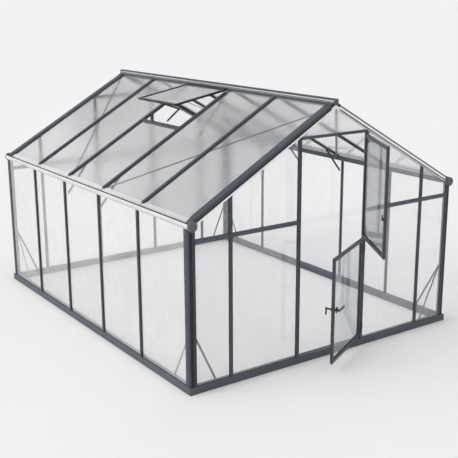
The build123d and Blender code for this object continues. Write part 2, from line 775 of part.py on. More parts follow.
def wall_brace(side, t_post, z_post, t_foot):
    """Flat foot brace on the inner faces of a corner post and a base rail."""
    pl = wall_plane(side)
    p, q = (t_post, z_post), (t_foot, 46.0)
    L = hypot(q[0] - p[0], q[1] - p[1])
    face_pl = Plane(origin=pl.origin + pl.y_dir * (POST_IN + 0.3), x_dir=pl.x_dir,
                    z_dir=-pl.y_dir)
    with BuildPart() as b:
        with BuildSketch(face_pl):
            with Locations(Location(((p[0] + q[0]) / 2, (p[1] + q[1]) / 2, 0), (0, 0, degrees(
                    atan2(q[1] - p[1], q[0] - p[0]))))):
                SlotCenterToCenter(L, BRACE_W)
        extrude(amount=-BRACE_T)
    return b.part


with BuildPart() as corner_braces:
    for side, half in (("front", HW), ("back", HW), ("left", HL), ("right", HL)):
        for s in (-1, 1):
            top, foot = {"front": (563.0, 289.0), "back": (585.0, 276.0)}.get(side, (570.0, 339.0))
            add(wall_brace(side, s * (half - 46), top, s * (half - foot)))
save(corner_braces.part, "corner_braces")

KNEE_Z = 1268.0
KNEE_X = 1240.0

with BuildPart() as knee_braces:
    for sgn in (-1, 1):
        for t, s in ((-BAY / 2, 1), (BAY / 2, -1)):
            y0 = YM + t + s * (ROOF_BOX + 0.3) + (5 if s > 0 else 0)
            p = (sgn * (HW - 44), KNEE_Z)
            q = (sgn * KNEE_X, roof_z(RIDGE_Z - 27, KNEE_X))
            add(link(p, q, 20, y0 - 5, 5))
save(knee_braces.part, "knee_braces")

ROD_W, ROD_T = 16.0, 4.0
ROD_LINE = RIDGE_Z - RIB_DROP - 0.5

with BuildPart() as wind_braces:
    # flat straps under the roof bars, from the gable end of the ridge to the eaves
    for sgn in (-1, 1):
        for sy in (-1, 1):
            p = Vector(sgn * 60, YC + sy * (HL - 74), roof_z(ROD_LINE, 60))
            q = Vector(sgn * 1380, YM + sy * (BAY / 2 - 4), roof_z(ROD_LINE, 1380))
            run = q - p
            with BuildSketch(Plane(origin=p, x_dir=run, z_dir=(-sgn * PITCH_T, 0, -1))):
                with Locations((run.length / 2, 0)):
                    Rectangle(run.length, ROD_W)
            extrude(amount=ROD_T)
save(wind_braces.part, "wind_braces")

# ---------------------------------------------------------------- door leaves
AX = (HINGE_X, YF + HINGE_OUT)


def closed_box(x0, x1, d0, d1, z0, z1, soft=None):
    """Block of a closed leaf; d is measured inwards from the base edge.
    soft names the axis whose edges are chamfered."""
    face = outline(Plane.XY.offset(z0), [(x0, YF + d0), (x1, YF + d0), (x1, YF + d1),
                                         (x0, YF + d1)])
    with BuildPart() as b:
        extrude(face, amount=z1 - z0)
        if soft:
            chamfer(b.edges().filter_by(soft), length=2.0)
    return b.part


def swung(part, angle):
    """Part of a leaf turned outwards about the hinge axis."""
    return part.rotate(Axis((AX[0], AX[1], 0), (0, 0, 1)), angle)


D0, D1 = LEAF_OUT, LEAF_OUT + LEAF_T


def stile(x0, x1, z0, z1):
    """Leaf profile with softened edges along its length."""
    return closed_box(x0, x1, D0, D1, z0, z1, Axis.Z if z1 - z0 > x1 - x0 else Axis.X)


def leaf_frame(z0, z1, angle):
    h = LEAF_HALF
    with BuildPart() as f:
        add(swung(stile(-h, -h + STILE, z0, z1), angle))
        add(swung(stile(h - STILE, h, z0, z1), angle))
        add(swung(stile(-h + STILE + 0.3, h - STILE - 0.3, z0, z0 + STILE), angle))
        add(swung(stile(-h + STILE + 0.3, h - STILE - 0.3, z1 - STILE, z1), angle))
    return f.part


def leaf_glass(z0, z1, angle):
    e = STILE + 0.5
    h = LEAF_HALF
    return swung(closed_box(-h + e, h - e, D0 + 9, D0 + 13, z0 + e, z1 - e), angle)


with BuildPart() as lower_leaf_frame:
    add(leaf_frame(*LOWER_Z, LOWER_OPEN))
save(lower_leaf_frame.part, "lower_leaf_frame")

with BuildPart() as lower_leaf_glass:
    add(leaf_glass(*LOWER_Z, LOWER_OPEN))
save(lower_leaf_glass.part, "lower_leaf_glass")

with BuildPart() as upper_leaf_frame:
    add(leaf_frame(*UPPER_Z, UPPER_OPEN))
save(upper_leaf_frame.part, "upper_leaf_frame")

with BuildPart() as upper_leaf_glass:
    add(leaf_glass(*UPPER_Z, UPPER_OPEN))
save(upper_leaf_glass.part, "upper_leaf_glass")

HANDLE_Z = 575.0
HANDLE_X = -LEAF_HALF + STILE / 2


def lever(face_d, out):
    """Lever on one face of the lower leaf; out = -1 outside. Outside, a boss, a
    rose and a lever that lies along the leaf; inside, a neck and a lever that
    hangs down clear of the jamb."""
    c = (HANDLE_X, YF + face_d, HANDLE_Z)
    steps = ((13, 18), (27, 24), (8, 46)) if out < 0 else ((15, 6), (8, 52))
    with BuildPart() as lv:
        start = 0.0
        for radius, end in steps:
            at = (c[0], c[1] + out * start, c[2])
            with BuildSketch(Plane(origin=at, x_dir=(1, 0, 0), z_dir=(0, out, 0))):
                Circle(radius)
            extrude(amount=end - start)
            start = end
        if out < 0:
            with BuildSketch(Plane(origin=(c[0] - 9, c[1] + out * 45, c[2]),
                                   x_dir=(0, 1, 0), z_dir=(1, 0, 0))):
                RectangleRounded(13, 19, 5)
            extrude(amount=118)
        else:
            with BuildSketch(Plane(origin=(c[0], c[1] + out * 51, c[2] + 9),
                                   x_dir=(1, 0, 0), z_dir=(0, 0, -1))):
                RectangleRounded(18, 12, 5)
            extrude(amount=62)
    return lv.part


with BuildPart() as lower_leaf_handle:
    add(swung(lever(D0 - 0.2, -1), LOWER_OPEN))
    add(swung(lever(D1 + 0.2, 1), LOWER_OPEN))
save(lower_leaf_handle.part, "lower_leaf_handle")

with BuildPart() as upper_leaf_latch:
    # turn-button latch on the inner face of the free stile
    zc = UPPER_Z[0] + 330
    with BuildSketch(Plane(origin=(HANDLE_X, YF + D1 + 0.2, zc), x_dir=(1, 0, 0),
                           z_dir=(0, 1, 0))) as sk:
        Circle(11)
    knob = extrude(amount=10, mode=Mode.PRIVATE)
    with BuildSketch(Plane(origin=(HANDLE_X, YF + D1 + 10.2, zc), x_dir=(1, 0, 0),
                           z_dir=(0, 1, 0))) as sk2:
        with Locations((0, -14)):
            RectangleRounded(16, 52, 6)
    bar = extrude(amount=9, mode=Mode.PRIVATE)
    add(swung(knob + bar, UPPER_OPEN))
save(upper_leaf_latch.part, "upper_leaf_latch")
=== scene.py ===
"""Looks of the glass greenhouse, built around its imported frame."""
import math
import bpy
import bmesh
from mathutils import Matrix, Vector


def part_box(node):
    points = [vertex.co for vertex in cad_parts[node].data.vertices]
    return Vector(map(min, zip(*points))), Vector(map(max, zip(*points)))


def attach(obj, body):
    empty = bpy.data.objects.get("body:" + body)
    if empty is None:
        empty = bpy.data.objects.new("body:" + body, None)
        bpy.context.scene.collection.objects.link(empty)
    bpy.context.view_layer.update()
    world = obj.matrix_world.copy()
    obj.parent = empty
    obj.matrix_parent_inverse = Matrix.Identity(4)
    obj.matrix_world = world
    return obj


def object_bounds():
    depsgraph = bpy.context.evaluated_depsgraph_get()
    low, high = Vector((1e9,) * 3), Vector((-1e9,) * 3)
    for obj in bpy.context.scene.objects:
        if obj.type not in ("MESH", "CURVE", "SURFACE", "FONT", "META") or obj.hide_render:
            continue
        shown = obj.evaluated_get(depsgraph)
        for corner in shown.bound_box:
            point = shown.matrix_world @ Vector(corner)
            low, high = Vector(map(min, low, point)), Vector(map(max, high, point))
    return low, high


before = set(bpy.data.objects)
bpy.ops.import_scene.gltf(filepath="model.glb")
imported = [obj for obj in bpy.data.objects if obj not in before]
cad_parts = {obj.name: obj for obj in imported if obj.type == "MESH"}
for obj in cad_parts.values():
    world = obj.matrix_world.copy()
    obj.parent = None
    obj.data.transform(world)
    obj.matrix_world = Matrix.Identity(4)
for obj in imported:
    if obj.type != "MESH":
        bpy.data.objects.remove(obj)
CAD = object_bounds()
scene = bpy.context.scene


# ------------------------------------------------------------------ camera
def make_camera():
    yaw, pitch, roll = math.radians(34.752), math.radians(14.93), math.radians(-0.286)
    fw = Vector((math.sin(yaw) * math.cos(pitch), math.cos(yaw) * math.cos(pitch), -math.sin(pitch)))
    right = Vector((math.cos(yaw), -math.sin(yaw), 0))
    up = right.cross(fw)
    r = right * math.cos(roll) + up * math.sin(roll)
    u = -right * math.sin(roll) + up * math.cos(roll)
    m = Matrix(((r.x, u.x, -fw.x), (r.y, u.y, -fw.y), (r.z, u.z, -fw.z))).to_4x4()
    m.translation = Vector((-4.927, -5.562, 3.124))
    cam = bpy.data.cameras.new("Camera")
    cam.sensor_width = 36.0
    cam.lens = 69.37
    cam.clip_end = 2000.0
    ob = bpy.data.objects.new("Camera", cam)
    ob.matrix_world = m
    scene.collection.objects.link(ob)
    scene.camera = ob


make_camera()


# --------------------------------------------------------------- materials
class Mat:
    """Small helper around one material's node tree."""

    def __init__(self, name):
        self.m = bpy.data.materials.new(name)
        self.m.use_nodes = True
        self.nt = self.m.node_tree
        self.nt.nodes.clear()
        self.out = self.node("OutputMaterial")
        self.co = self.node("TexCoord").outputs["Object"]

    def node(self, kind, **settings):
        n = self.nt.nodes.new("ShaderNode" + kind)
        for k, v in settings.items():
            setattr(n, k, v)
        return n

    def link(self, a, b):
        self.nt.links.new(a, b)

    def noise(self, scale, detail=3.0, rough=0.55, stretch=None):
        co = self.co
        if stretch:
            mp = self.node("Mapping")
            mp.inputs["Scale"].default_value = stretch
            self.link(co, mp.inputs["Vector"])
            co = mp.outputs[0]
        n = self.node("TexNoise")
        n.inputs["Scale"].default_value = scale
        n.inputs["Detail"].default_value = detail
        n.inputs["Roughness"].default_value = rough
        self.link(co, n.inputs["Vector"])
        return n.outputs[0]

    def ramp(self, fac, stops):
        r = self.node("ValToRGB")
        e = r.color_ramp.elements
        while len(e) < len(stops):
            e.new(0.5)
        for el, (p, c) in zip(e, stops):
            el.position = p
            el.color = (*c, 1)
        self.link(fac, r.inputs[0])
        return r.outputs[0]

    def span(self, fac, a, b):
        """Value fac 0..1 spread over a..b."""
        r = self.node("MapRange")
        r.inputs["From Min"].default_value = 0.3
        r.inputs["From Max"].default_value = 0.7
        r.inputs["To Min"].default_value = a
        r.inputs["To Max"].default_value = b
        self.link(fac, r.inputs["Value"])
        return r.outputs[0]

    def math(self, op, a, b=None, clamp=False):
        n = self.node("Math", operation=op)
        n.use_clamp = clamp
        for i, v in enumerate((a, b)):
            if v is None:
                continue
            if isinstance(v, (int, float)):
                n.inputs[i].default_value = v
            else:
                self.link(v, n.inputs[i])
        return n.outputs[0]

    def bump(self, height, strength, distance, normal=None):
        b = self.node("Bump")
        b.inputs["Strength"].default_value = strength
        b.inputs["Distance"].default_value = distance
        self.link(height, b.inputs["Height"])
        if normal is not None:
            self.link(normal, b.inputs["Normal"])
        return b.outputs[0]

    def mix(self, fac, a, b):
        n = self.node("MixShader")
        if isinstance(fac, (int, float)):
            n.inputs[0].default_value = fac
        else:
            self.link(fac, n.inputs[0])
        self.link(a, n.inputs[1])
        self.link(b, n.inputs[2])
        return n.outputs[0]


def tone(c, k):
    return tuple(min(1.0, v * k) for v in c)


def coating(name, colour, rough=0.42, spec=0.35, edge=None, ribs=None, coarse=1.0):
    """Powder coat: slight drift of tone, orange-peel grain and a satin sheen.
    edge is the paler tone on convex corners, a painted edge highlight broken up by noise like rubbed
    wear; ribs gives (axis, pitch, depth)."""
    t = Mat(name)
    drift = t.noise(2.3 * coarse, 3.0)
    fine = t.noise(210.0, 2.0)
    col = t.ramp(drift, [(0.32, tone(colour, 0.86)), (0.52, colour), (0.72, tone(colour, 1.16))])
    if edge:
        # painted edge highlight: convex corners found by pointiness take the paler edge tone, broken
        # up by noise like rubbed wear
        geo = t.node("NewGeometry")
        edge_mask = t.span(geo.outputs["Pointiness"], 0.0, 1.0)
        edge_sheen_and_wear = t.math("MULTIPLY", edge_mask, t.noise(26.0, 4.0), True)
        mx = t.node("MixRGB")
        mx.inputs[2].default_value = (*edge, 1)
        t.link(t.math("MULTIPLY", edge_sheen_and_wear, 0.35, True), mx.inputs[0])
        t.link(col, mx.inputs[1])
        col = mx.outputs[0]
    p = t.node("BsdfPrincipled")
    p.inputs["Specular IOR Level"].default_value = spec
    t.link(col, p.inputs["Base Color"])
    t.link(t.span(t.noise(9.0, 4.0), rough - 0.05, rough + 0.07), p.inputs["Roughness"])
    nrm = t.bump(fine, 0.10, 0.0004)
    if ribs:
        axis, pitch, depth = ribs
        w = t.node("TexWave", wave_type="BANDS", bands_direction=axis, wave_profile="SIN")
        w.inputs["Scale"].default_value = 2 * math.pi / (20.0 * pitch)
        t.link(t.co, w.inputs["Vector"])
        nrm = t.bump(w.outputs["Fac"], 0.6, depth, nrm)
    t.link(nrm, p.inputs["Normal"])
    t.link(p.outputs[0], t.out.inputs[0])
    return t.m


def anodised(name, colour, rough=0.45, axis=(1, 60, 60), metal=0.0, spec=0.4):
    """Extruded aluminium: fine draw lines along the profile and faint dulling."""
    t = Mat(name)
    lines = t.noise(14.0, 5.0, 0.7, axis)
    drift = t.noise(3.1, 3.0)
    col = t.ramp(drift, [(0.3, tone(colour, 0.93)), (0.5, colour), (0.7, tone(colour, 1.05))])
    p = t.node("BsdfPrincipled")
    p.inputs["Metallic"].default_value = metal
    p.inputs["Specular IOR Level"].default_value = spec
    t.link(col, p.inputs["Base Color"])
    t.link(t.span(lines, rough - 0.08, rough + 0.1), p.inputs["Roughness"])
    t.link(t.bump(lines, 0.12, 0.0005), p.inputs["Normal"])
    t.link(p.outputs[0], t.out.inputs[0])
    return t.m


def rubber(name, colour=(0.016, 0.016, 0.017)):
    t = Mat(name)
    p = t.node("BsdfPrincipled")
    p.inputs["Specular IOR Level"].default_value = 0.25
    t.link(t.ramp(t.noise(40.0, 3.0), [(0.35, colour), (0.65, tone(colour, 1.5))]),
           p.inputs["Base Color"])
    t.link(t.span(t.noise(120.0, 2.0), 0.62, 0.8), p.inputs["Roughness"])
    t.link(t.bump(t.noise(600.0, 2.0), 0.2, 0.0003), p.inputs["Normal"])
    t.link(p.outputs[0], t.out.inputs[0])
    return t.m


def clear_glass(name, tint, haze=0.03, haze_col=(0.9, 0.91, 0.93), rough=0.03):
    """Window glass: clear, mirror-like at a flat angle, with a breath of dust; the same pale veil,
    made heavier, paints in reflected light where a pane must look brighter.
    """
    t = Mat(name)
    tr = t.node("BsdfTransparent")
    tr.inputs[0].default_value = (*tint, 1)
    g = t.node("BsdfGlossy")
    g.inputs["Roughness"].default_value = rough
    t.link(t.bump(t.noise(1.7, 2.0), 0.05, 0.004), g.inputs["Normal"])
    lw = t.node("LayerWeight")
    lw.inputs[0].default_value = 0.5
    facing = t.math("POWER", lw.outputs["Facing"], 5.0)
    fres = t.node("Math", operation="MULTIPLY_ADD")
    fres.inputs[1].default_value = 0.96
    fres.inputs[2].default_value = 0.04
    t.link(facing, fres.inputs[0])
    # pale veil: real dust on the glass, and painted reflected light where the haze is raised
    dust_and_sheen = t.node("BsdfTranslucent")
    dust_and_sheen.inputs[0].default_value = (*haze_col, 1)
    dust_and_sheen_diffuse = t.node("BsdfDiffuse")
    dust_and_sheen_diffuse.inputs[0].default_value = (*haze_col, 1)
    veil = t.mix(0.5, dust_and_sheen.outputs[0], dust_and_sheen_diffuse.outputs[0])
    amount = t.span(t.noise(2.6, 4.0, 0.6), haze * 0.7, haze * 1.3)
    body = t.mix(amount, tr.outputs[0], veil)
    t.link(t.mix(fres.outputs[0], body, g.outputs[0]), t.out.inputs[0])
    return t.m


def frosted(name, colour=(0.95, 0.955, 0.96), rough=0.105, milk=0.05, through=0.98):
    """Frosted glass: what lies behind softens with its distance."""
    t = Mat(name)
    p = t.node("BsdfPrincipled")
    p.inputs["Transmission Weight"].default_value = 1.0
    p.inputs["IOR"].default_value = 1.45
    t.link(t.ramp(t.noise(1.4, 3.0), [(0.3, tone(colour, 0.985)), (0.7, tone(colour, 1.01))]),
           p.inputs["Base Color"])
    t.link(t.span(t.noise(5.0, 3.0), rough - 0.015, rough + 0.015), p.inputs["Roughness"])
    t.link(t.bump(t.noise(320.0, 2.0), 0.12, 0.0003), p.inputs["Normal"])
    tl = t.node("BsdfTranslucent")
    tl.inputs[0].default_value = (*colour, 1)
    df = t.node("BsdfDiffuse")
    df.inputs[0].default_value = (*colour, 1)
    soft = t.mix(0.35, tl.outputs[0], df.outputs[0])
    seen = t.mix(t.span(t.noise(2.0, 4.0), milk * 0.92, milk * 1.08), p.outputs[0], soft)
    # light on its way to the floor passes as through thin glass
    lp = t.node("LightPath")
    tr = t.node("BsdfTransparent")
    tr.inputs[0].default_value = (through, through, through, 1)
    t.link(t.mix(t.math("MAXIMUM", lp.outputs["Is Shadow Ray"], lp.outputs["Is Diffuse Ray"]),
                 seen, tr.outputs[0]), t.out.inputs[0])
    return t.m


ANTH = (0.029, 0.035, 0.047)
MATS = {
    "base_coating": coating("base_coat", tone(ANTH, 2.0), 0.45, 0.5, (0.09, 0.095, 0.10)),
    "frame_coating": coating("frame_coat", tone(ANTH, 1.3), 0.42, 0.4, (0.07, 0.075, 0.08)),
    "leaf_coating": coating("leaf_coat", tone(ANTH, 1.15), 0.40, 0.35, (0.06, 0.065, 0.07)),
    "pale_profile": anodised("pale_alu", (0.58, 0.59, 0.60), 0.5, (60, 1, 60)),
    "channel_aluminium": anodised("channel_alu", (0.52, 0.525, 0.53), 0.45, (60, 1, 60)),
    "brace_steel": coating("brace_coat", tone(ANTH, 1.5), 0.38, 0.5),
    "clear_glass": clear_glass("wall_glass", (0.999, 0.999, 1.0), 0.09, (1.0, 1.0, 1.0)),
    "leaf_glass": clear_glass("door_glass", (0.93, 0.94, 0.95), 0.05),
    "frosted_glass": frosted("roof_glass", (0.775, 0.78, 0.79)),
    "handle_metal": coating("handle_coat", (0.022, 0.022, 0.024), 0.30, 0.5),
}
RIBBED = coating("ribbed_coat", tone(ANTH, 1.35), 0.42, 0.4, None, ("Y", 0.006, 0.0012))
GUTTER = anodised("gutter_alu", (0.64, 0.645, 0.65), 0.55, (60, 1, 60))
WHITE = anodised("pale_strip", (0.86, 0.865, 0.87), 0.6, (1, 1, 1))
CHANNEL = MATS["channel_aluminium"]
LIP = coating("lip_coat", tone(ANTH, 0.5), 0.40, 0.3)
CAPS = coating("cap_moulded", (0.105, 0.112, 0.125), 0.6, 0.3)
APEX = frosted("apex_glass", (1.0, 1.0, 1.0), 0.12, 0.06)
# painted reflection: the left wall glass carries a heavier pale veil than the other walls, standing in
# for the bright reflection on its panes
LEFT_GLASS_LIT = clear_glass("side_glass", (1.0, 1.0, 1.0), 0.19, (1.0, 1.0, 1.0))
RIGHT_GLASS = clear_glass("right_glass", (0.99, 0.992, 1.0), 0.07, (0.95, 0.955, 0.97))
# painted reflection: the upper leaf's glass is tinted darker than the lower leaf's, standing in for
# dark reflections on it
UPPER_GLASS_SHADED = clear_glass("upper_door_glass_shaded", (0.745, 0.755, 0.77), 0.03)
# painted light: a lighter copy of the roof glass on the right slope, so the apex seen through it looks
# bright
RIGHT_ROOF_LIT = frosted("right_roof_glass_lit", (0.96, 0.962, 0.97), 0.105, 0.05)
BAR_COAT = coating("bar_coat", tone(ANTH, 0.9), 0.42, 0.35, (0.06, 0.065, 0.07))
RAIL_COAT = coating("rail_coat", tone(ANTH, 2.0), 0.42, 0.45, (0.08, 0.085, 0.09))
SEAL = rubber("seal_rubber")
COVER = coating("cover_coat", tone(ANTH, 1.7), 0.5, 0.3)
# dark coat of the painted shade sheets on posts and verges, and of the ridge plugs
SHADE_AND_PLUG_COAT = coating("shade_and_plug_coat", tone(ANTH, 0.55), 0.5, 0.25)
STEEL = anodised("bolt_steel", (0.20, 0.205, 0.21), 0.38, (1, 1, 1), 1.0, 0.5)

SPECIAL = {"front_rafters": RIBBED, "back_rafters": RIBBED, "gutter_lips": LIP,
           "gutter_end_caps": CAPS, "ridge_end_caps": CAPS, "apex_panes": APEX,
           "left_wall_glass": LEFT_GLASS_LIT, "right_wall_glass": RIGHT_GLASS,
           "upper_leaf_glass": UPPER_GLASS_SHADED,
           "right_roof_panes": RIGHT_ROOF_LIT, "left_wall_bars": BAR_COAT,
           "front_gable_rails": RAIL_COAT, "door_head_rail": RAIL_COAT,
           "ridge_beam": CHANNEL, "vent_sash_frame": LIP,
           "gutter_left": GUTTER, "verge_strips": WHITE, "eaves_strips": WHITE, "gutter_right": GUTTER}

for name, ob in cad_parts.items():
    for i, sl in enumerate(ob.material_slots):
        key = sl.material.name if sl.material else ""
        hit = next((k for k in MATS if key.startswith(k)), None)
        if hit is None:
            print("NO SLOT", name, key)
        sl.material = SPECIAL.get(name) or MATS[hit]

# ------------------------------------------------------------ stage, light
me = bpy.data.meshes.new("Floor")
bm = bmesh.new()
S = 600
vs = [bm.verts.new((x, y, CAD[0][2])) for x, y in ((-S, -S), (S, -S), (S, S), (-S, S))]
bm.faces.new(vs)
bm.to_mesh(me)
bm.free()
floor = bpy.data.objects.new("Floor", me)
scene.collection.objects.link(floor)
fm = Mat("floor_plain")
d = fm.node("BsdfDiffuse")
fm.link(fm.ramp(fm.noise(0.8, 2.0), [(0.3, (0.835, 0.835, 0.84)), (0.7, (0.845, 0.845, 0.845))]),
        d.inputs[0])
fm.link(d.outputs[0], fm.out.inputs[0])
me.materials.append(fm.m)

w = bpy.data.worlds.new("World")
scene.world = w
w.use_nodes = True
wt = w.node_tree
bg = wt.nodes["Background"]
HORIZON, ZENITH, DARK = 0.67, 0.92, 0.90
co = wt.nodes.new("ShaderNodeTexCoord")
sep = wt.nodes.new("ShaderNodeSeparateXYZ")
wt.links.new(co.outputs["Generated"], sep.inputs[0])
rp = wt.nodes.new("ShaderNodeMapRange")
rp.inputs["From Min"].default_value = 0.0
rp.inputs["From Max"].default_value = 1.0
rp.inputs["To Min"].default_value = HORIZON
rp.inputs["To Max"].default_value = ZENITH
wt.links.new(sep.outputs["Z"], rp.inputs["Value"])
# the studio is darker on the side that the camera looks from
dot = wt.nodes.new("ShaderNodeVectorMath")
dot.operation = "DOT_PRODUCT"
dot.inputs[1].default_value = (-0.45, -0.89, 0.0)
wt.links.new(co.outputs["Generated"], dot.inputs[0])
dk = wt.nodes.new("ShaderNodeMapRange")
dk.interpolation_type = "SMOOTHSTEP"
dk.inputs["From Min"].default_value = 0.15
dk.inputs["From Max"].default_value = 0.95
dk.inputs["To Min"].default_value = 1.0
dk.inputs["To Max"].default_value = DARK
wt.links.new(dot.outputs["Value"], dk.inputs["Value"])
ml = wt.nodes.new("ShaderNodeMath")
ml.operation = "MULTIPLY"
wt.links.new(rp.outputs[0], ml.inputs[0])
wt.links.new(dk.outputs[0], ml.inputs[1])
# a dark gap between two soft boxes, low in the far sky: the roof panes mirror it
gap = wt.nodes.new("ShaderNodeVectorMath")
gap.operation = "DOT_PRODUCT"
gv = Vector((0.098, 0.80, 0.592)).normalized()
gap.inputs[1].default_value = tuple(gv)
wt.links.new(co.outputs["Generated"], gap.inputs[0])
gr = wt.nodes.new("ShaderNodeMapRange")
gr.interpolation_type = "SMOOTHSTEP"
gr.inputs["From Min"].default_value = math.cos(math.radians(9.0))
gr.inputs["From Max"].default_value = math.cos(math.radians(2.5))
gr.inputs["To Min"].default_value = 1.0
gr.inputs["To Max"].default_value = 0.15
wt.links.new(gap.outputs["Value"], gr.inputs["Value"])
br = wt.nodes.new("ShaderNodeMapRange")
br.interpolation_type = "SMOOTHSTEP"
br.inputs["From Min"].default_value = math.cos(math.radians(28.0))
br.inputs["From Max"].default_value = math.cos(math.radians(12.0))
br.inputs["To Min"].default_value = 1.0
br.inputs["To Max"].default_value = 1.30
wt.links.new(gap.outputs["Value"], br.inputs["Value"])
m2 = wt.nodes.new("ShaderNodeMath")
m2.operation = "MULTIPLY"
wt.links.new(gr.outputs[0], m2.inputs[0])
wt.links.new(br.outputs[0], m2.inputs[1])
m3 = wt.nodes.new("ShaderNodeMath")
m3.operation = "MULTIPLY"
wt.links.new(ml.outputs[0], m3.inputs[0])
wt.links.new(m2.outputs[0], m3.inputs[1])
# and a narrow one further to the left
gap2 = wt.nodes.new("ShaderNodeVectorMath")
gap2.operation = "DOT_PRODUCT"
gap2.inputs[1].default_value = tuple(Vector((0.128, 0.886, 0.446)).normalized())
wt.links.new(co.outputs["Generated"], gap2.inputs[0])
gr2 = wt.nodes.new("ShaderNodeMapRange")
gr2.interpolation_type = "SMOOTHSTEP"
gr2.inputs["From Min"].default_value = math.cos(math.radians(3.6))
gr2.inputs["From Max"].default_value = math.cos(math.radians(1.2))
gr2.inputs["To Min"].default_value = 1.0
gr2.inputs["To Max"].default_value = 0.08
wt.links.new(gap2.outputs["Value"], gr2.inputs["Value"])
m4 = wt.nodes.new("ShaderNodeMath")
m4.operation = "MULTIPLY"
wt.links.new(m3.outputs[0], m4.inputs[0])
wt.links.new(gr2.outputs[0], m4.inputs[1])
# close over the horizon the sky is as light as the floor, so no edge shows
hz = wt.nodes.new("ShaderNodeMapRange")
hz.interpolation_type = "SMOOTHSTEP"
hz.inputs["From Min"].default_value = 0.03
hz.inputs["From Max"].default_value = 0.26
hz.inputs["To Min"].default_value = 1.0
hz.inputs["To Max"].default_value = 0.0
wt.links.new(sep.outputs["Z"], hz.inputs["Value"])
hs = wt.nodes.new("ShaderNodeMix")
hs.data_type = "FLOAT"
wt.links.new(hz.outputs["Result"], hs.inputs["Factor"])
wt.links.new(m4.outputs[0], hs.inputs["A"])
hs.inputs["B"].default_value = 0.90
wt.links.new(hs.outputs["Result"], bg.inputs["Strength"])
bg.inputs["Color"].default_value = (1.0, 1.0, 1.0, 1)


def sun(name, energy, azimuth, elevation, spread):
    l = bpy.data.lights.new(name, "SUN")
    l.energy = energy
    l.angle = math.radians(spread)
    o = bpy.data.objects.new(name, l)
    a, e = math.radians(azimuth), math.radians(elevation)
    frm = Vector((math.sin(a) * math.cos(e), math.cos(a) * math.cos(e), math.sin(e)))
    o.rotation_mode = "QUATERNION"
    o.rotation_quaternion = frm.to_track_quat("Z", "Y")
    scene.collection.objects.link(o)


sun("SoftKey", 1.60, -76, 26, 55)

scene.view_settings.view_transform = "Standard"

# ----------------------------------------------------------- detail pieces
_f, _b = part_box("base_front"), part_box("base_back")
HW = _f[1][0]                   # half width over the base
YF, YE = _f[0][1], _b[1][1]     # outer faces of the gable base rails
YC, HL = (YF + YE) / 2, (YE - YF) / 2
BASE_TOP = _f[1][2]
PITCH, RZ = 0.568, 2.244        # roof slope and ridge line of the bar tops
BARS = [0.012 + 0.72 * k for k in (-1.5, -0.5, 0.5, 1.5)]
YM = YC + 0.012
GABLE_T = (-1.071, -0.372, 0.372, 1.071)
RAIL_Z, HEAD_Z, EAVES = 1.272, 1.9785, 1.384
HINGE = Vector((0.362, YF - 0.0035, 0.0))
OPEN = {"lower_leaf": math.radians(28.2), "upper_leaf": math.radians(61.1)}
LEAF_Z = {"lower_leaf": (0.092, 1.019), "upper_leaf": (1.040, 1.961)}


def roof(z0, x):
    return z0 - PITCH * abs(x)


def wall(side, t, d, z):
    """Point t along a wall, d in from the base's outer face, with its inward axis."""
    if side == "front":
        return Vector((t, YF + d, z)), Vector((0, 1, 0))
    if side == "back":
        return Vector((-t, YE - d, z)), Vector((0, -1, 0))
    if side == "left":
        return Vector((-HW + d, YC - t, z)), Vector((1, 0, 0))
    return Vector((HW - d, YC + t, z)), Vector((-1, 0, 0))


